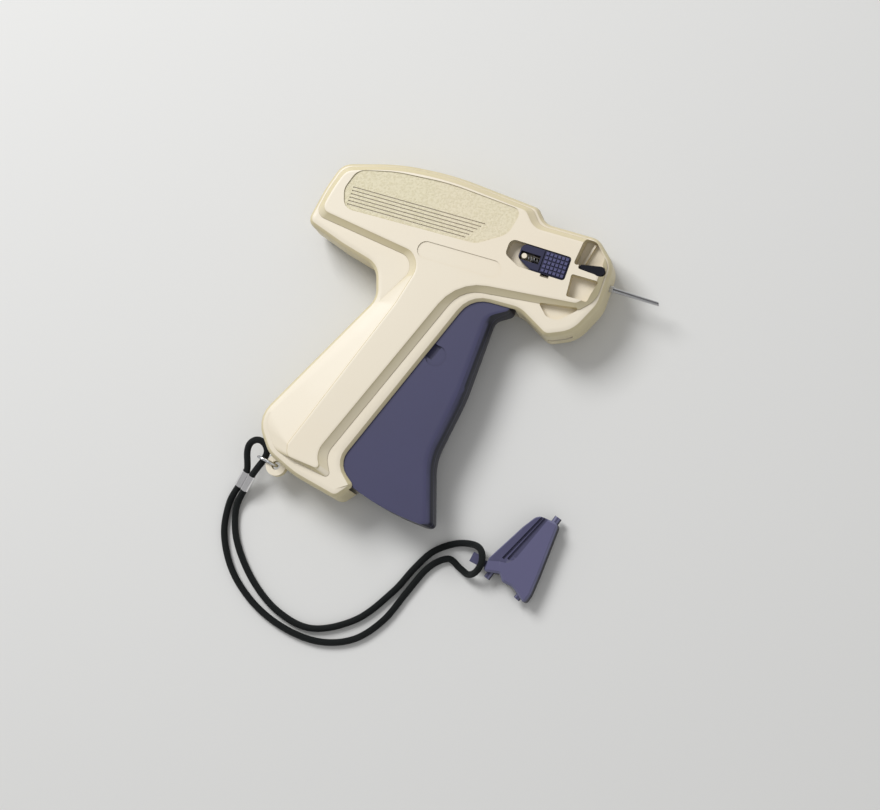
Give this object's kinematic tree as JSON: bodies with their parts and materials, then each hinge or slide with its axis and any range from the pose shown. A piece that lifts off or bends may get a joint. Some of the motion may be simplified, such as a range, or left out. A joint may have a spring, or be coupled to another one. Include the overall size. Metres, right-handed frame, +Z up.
{
  "type": "garment tag attacher",
  "caption": "Pistol shaped hand tool that pushes plastic tag fasteners through cloth with a hollow needle, with a trigger, a needle lock, a sliding button and a needle cap on a looped cord.",
  "frame": {"origin": "centre of the box round the tool without its lanyard, in the plane of the table that it lies on", "axes": "+X forward along the needle, +Y toward the top of the tool, +Z up from the table through the face with the button"},
  "size_m": [0.1493, 0.2008, 0.0263],
  "materials": {
    "body": "ivory moulded plastic, satin",
    "screw": "blackened steel",
    "trigger": "dark violet blue moulded plastic, satin",
    "pin": "ground steel",
    "spring": "drawn spring wire",
    "mechanism": "natural acetal",
    "guide": "zinc casting",
    "feed": "natural nylon",
    "hub": "turned steel",
    "needle": "ground and slotted steel",
    "lock": "near black moulded plastic",
    "button": "dark blue moulded plastic with paler squares",
    "link": "plated wire",
    "ferrule": "pressed bright aluminium",
    "cord": "black round elastic cord",
    "cap": "dark violet blue moulded plastic, satin"
  },
  "bodies": {
    "root": {"body_near": "body", "body_far": "body", "body_screws": "screw", "trigger_pin": "pin", "return_spring": "spring", "lever_pin": "pin", "feed_guide": "guide", "feed_axle": "pin", "needle_hub": "hub", "needle": "needle", "button_spring": "spring", "lanyard_link": "link", "lanyard_ferrule": "ferrule", "lanyard_cord": "cord", "needle_cap": "cap"},
    "trigger": {"trigger": "trigger", "push_pin": "pin"},
    "drive_lever": {"drive_lever": "mechanism"},
    "slide": {"slide": "mechanism", "push_rod": "pin"},
    "feed_wheel": {"feed_wheel": "feed"},
    "feed_arm": {"feed_arm": "feed"},
    "needle_lock": {"needle_lock": "lock"},
    "release_button": {"release_button": "button"}
  },
  "joints": [
    {"name": "trigger_squeeze", "type": "hinge", "parent": "root", "child": "trigger", "pos_m": [0.01125, 0.03435, 0.013], "axis": [0, 0, -1], "range_deg": [0, 16], "stiffness_Nm_per_rad": 0.6, "springref_deg": -14.32},
    {"name": "lever_swing", "type": "hinge", "parent": "root", "child": "drive_lever", "pos_m": [-0.02675, 0.00185, 0.013], "axis": [0, 0, -1], "range_deg": [0, 45]},
    {"name": "slide_stroke", "type": "slide", "parent": "root", "child": "slide", "axis": [1, 0, 0], "range_m": [0, 0.036]},
    {"name": "feed_arm_turn", "type": "hinge", "parent": "root", "child": "feed_arm", "pos_m": [0.03125, 0.03885, 0.013], "axis": [0, 0, 1], "range_deg": [0, 30]},
    {"name": "feed_wheel_turn", "type": "hinge", "parent": "root", "child": "feed_wheel", "pos_m": [0.03125, 0.03885, 0.013], "axis": [0, 0, 1], "range_deg": [0, 30]},
    {"name": "needle_lock_turn", "type": "hinge", "parent": "root", "child": "needle_lock", "pos_m": [0.04805, 0.05055, 0.013], "axis": [0, 0, -1], "range_deg": [0, 60]},
    {"name": "button_slide", "type": "slide", "parent": "root", "child": "release_button", "axis": [-1, 0, 0], "range_m": [0, 0.004], "stiffness_N_per_m": 400, "springref_m": -0.003}
  ],
  "couplings": [
    {"joint": "lever_swing", "follows": "trigger_squeeze", "ratio": 2.8125},
    {"joint": "slide_stroke", "follows": "trigger_squeeze", "m_per_rad": 0.12882},
    {"joint": "feed_arm_turn", "follows": "trigger_squeeze", "ratio": 1.875},
    {"joint": "feed_wheel_turn", "follows": "trigger_squeeze", "ratio": 1.875}
  ]
}
